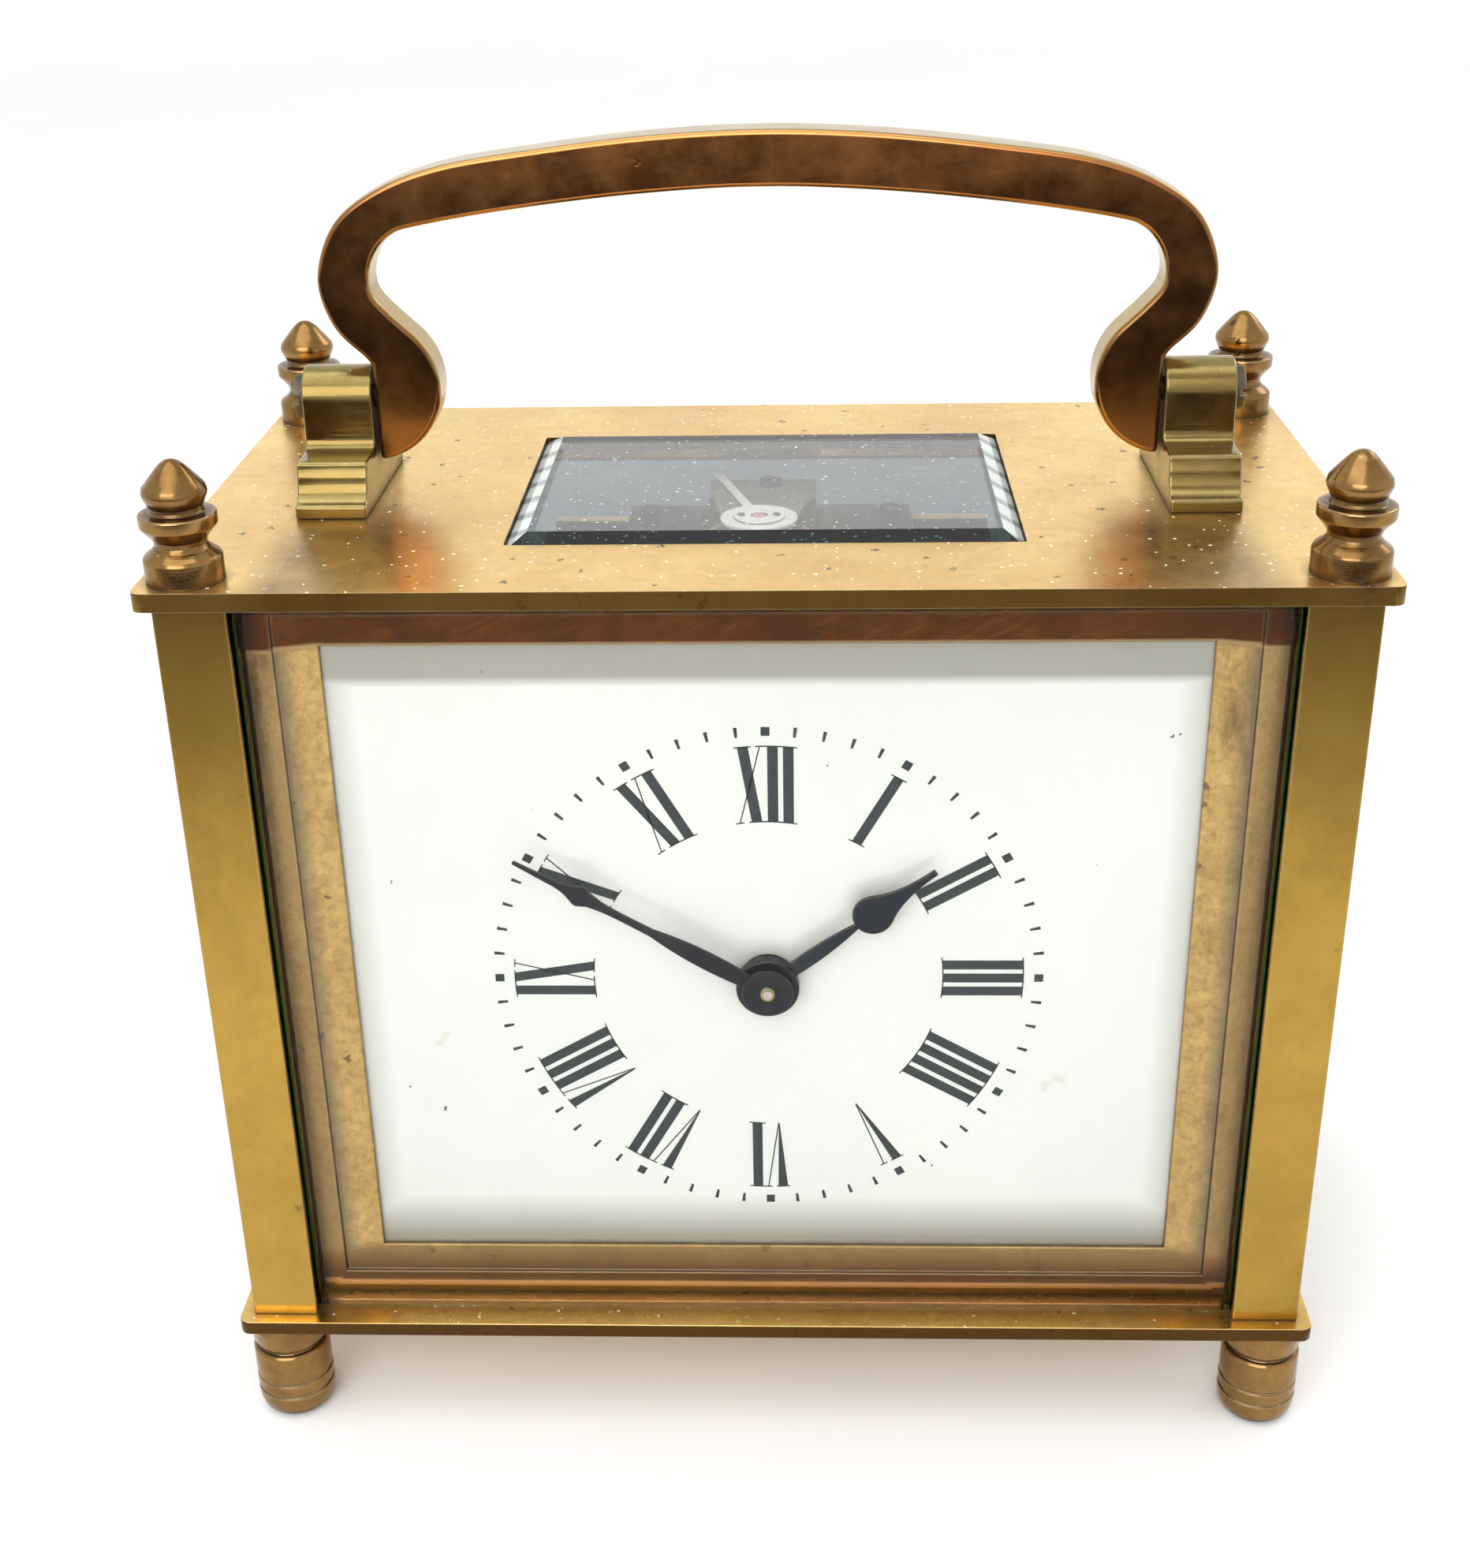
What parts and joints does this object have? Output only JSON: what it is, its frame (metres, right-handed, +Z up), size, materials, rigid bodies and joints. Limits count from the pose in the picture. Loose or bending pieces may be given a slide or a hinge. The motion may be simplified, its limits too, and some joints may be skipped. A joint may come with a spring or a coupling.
{
  "type": "carriage clock",
  "caption": "Wide glazed brass carriage clock with a folding handle, white enamel dial, blackened hands, hinged rear door and a lever platform movement.",
  "frame": {"origin": "centre of the clock's footprint on the surface that it stands on", "axes": "+X to the right seen from the dial, +Y to the rear door, +Z up"},
  "size_m": [0.12, 0.0662, 0.1385],
  "materials": {
    "aged_brass": "satin, brown patina",
    "case_brass": "polished, lightly tarnished",
    "dark_brass": "dull, oxidised",
    "movement_brass": "fine grained",
    "bright_steel": "bright, fine grained",
    "blued_steel": "tempered blue",
    "black_steel": "blackened, satin",
    "enamel": "vitreous enamel, glossy white",
    "ruby": "polished jewel",
    "crystal": "clear, bevelled edges"
  },
  "bodies": {
    "case": {"base_plate": "aged_brass", "top_plate": "aged_brass", "pillar_front_left": "case_brass", "pillar_front_right": "case_brass", "pillar_back_left": "case_brass", "pillar_back_right": "case_brass", "foot_front_left": "aged_brass", "foot_front_right": "aged_brass", "foot_back_left": "aged_brass", "foot_back_right": "aged_brass", "finial_front_left": "case_brass", "finial_front_right": "case_brass", "finial_back_left": "case_brass", "finial_back_right": "case_brass", "front_glass": "crystal", "left_glass": "crystal", "right_glass": "crystal", "top_glass": "crystal", "top_glass_frame": "dark_brass", "bracket_left": "aged_brass", "bracket_right": "aged_brass", "pivot_screw_left": "dark_brass", "pivot_screw_right": "dark_brass", "door_pin_bottom": "bright_steel", "door_pin_top": "bright_steel", "dial": "enamel", "dial_mask": "aged_brass", "click_spring": "blued_steel", "front_movement_plate": "movement_brass", "back_movement_plate": "movement_brass", "movement_pillar_lower_left": "movement_brass", "movement_pillar_lower_right": "movement_brass", "movement_pillar_upper_left": "movement_brass", "movement_pillar_upper_right": "movement_brass", "platform": "dark_brass", "escape_cock": "movement_brass", "hairspring": "blued_steel", "balance_cock": "movement_brass", "end_stone": "ruby"},
    "handle": {"handle": "aged_brass"},
    "rear_door": {"rear_door": "aged_brass", "rear_door_glass": "crystal", "rear_door_knob": "case_brass"},
    "minute_work": {"centre_wheel": "movement_brass", "minute_hand": "black_steel"},
    "hour_work": {"hour_wheel": "movement_brass", "hour_hand": "black_steel"},
    "minute_wheel": {"minute_wheel": "movement_brass"},
    "third_wheel": {"third_wheel": "movement_brass"},
    "contrate_wheel": {"contrate_wheel": "movement_brass"},
    "escape_wheel": {"escape_wheel": "bright_steel"},
    "going_barrel": {"barrel": "movement_brass", "barrel_cap": "movement_brass", "mainspring": "blued_steel"},
    "winding_arbor": {"barrel_arbor": "bright_steel", "ratchet_wheel": "bright_steel"},
    "click": {"click": "bright_steel"},
    "pallet_lever": {"pallet_lever": "bright_steel"},
    "balance": {"balance_wheel": "movement_brass"},
    "regulator": {"regulator": "bright_steel"}
  },
  "joints": [
    {"name": "handle_fold", "type": "hinge", "parent": "case", "child": "handle", "pos_m": [0, 0, 0.1115], "axis": [1, 0, 0], "range_deg": [-100, 100]},
    {"name": "rear_door_swing", "type": "hinge", "parent": "case", "child": "rear_door", "pos_m": [0.0494, 0.0293, 0.057], "axis": [0, 0, -1], "range_deg": [0, 95]},
    {"name": "third_wheel_turn", "type": "hinge", "parent": "case", "child": "third_wheel", "pos_m": [0.0115, 0, 0.06317], "axis": [0, 1, 0], "continuous": true},
    {"name": "minute_hand_turn", "type": "hinge", "parent": "case", "child": "minute_work", "pos_m": [0, 0, 0.0545], "axis": [0, 1, 0], "continuous": true},
    {"name": "hour_hand_turn", "type": "hinge", "parent": "case", "child": "hour_work", "pos_m": [0, 0, 0.0545], "axis": [0, 1, 0], "continuous": true},
    {"name": "minute_wheel_turn", "type": "hinge", "parent": "case", "child": "minute_wheel", "pos_m": [-0.0062, -0.022, 0.05084], "axis": [0, 1, 0], "continuous": true},
    {"name": "contrate_wheel_turn", "type": "hinge", "parent": "case", "child": "contrate_wheel", "pos_m": [-0.001, 0, 0.07007], "axis": [0, 1, 0], "continuous": true},
    {"name": "escape_wheel_turn", "type": "hinge", "parent": "case", "child": "escape_wheel", "pos_m": [-0.001, -0.0052, 0.09], "axis": [0, 0, 1], "continuous": true},
    {"name": "barrel_turn", "type": "hinge", "parent": "case", "child": "going_barrel", "pos_m": [-0.006, 0, 0.03438], "axis": [0, 1, 0], "continuous": true},
    {"name": "winding_turn", "type": "hinge", "parent": "case", "child": "winding_arbor", "pos_m": [-0.006, 0, 0.03438], "axis": [0, 1, 0], "continuous": true},
    {"name": "click_lift", "type": "hinge", "parent": "case", "child": "click", "pos_m": [-0.0175, 0.021, 0.03758], "axis": [0, 1, 0], "range_deg": [-8, 4]},
    {"name": "lever_swing", "type": "hinge", "parent": "case", "child": "pallet_lever", "pos_m": [-0.001, -0.0014, 0.094], "axis": [0, 0, 1], "range_deg": [-6, 6]},
    {"name": "balance_swing", "type": "hinge", "parent": "case", "child": "balance", "pos_m": [-0.001, 0.0024, 0.095], "axis": [0, 0, 1], "range_deg": [-135, 135], "stiffness_Nm_per_rad": 0.0000016},
    {"name": "regulator_shift", "type": "hinge", "parent": "case", "child": "regulator", "pos_m": [-0.001, 0.0024, 0.097], "axis": [0, 0, 1], "range_deg": [-12, 12]}
  ],
  "couplings": [
    {"joint": "minute_hand_turn", "follows": "third_wheel_turn", "ratio": -0.125},
    {"joint": "hour_hand_turn", "follows": "third_wheel_turn", "ratio": -0.010417},
    {"joint": "minute_wheel_turn", "follows": "third_wheel_turn", "ratio": 0.041667},
    {"joint": "contrate_wheel_turn", "follows": "third_wheel_turn", "ratio": -7.5},
    {"joint": "escape_wheel_turn", "follows": "third_wheel_turn", "ratio": -67.5},
    {"joint": "barrel_turn", "follows": "third_wheel_turn", "ratio": 0.020833}
  ]
}
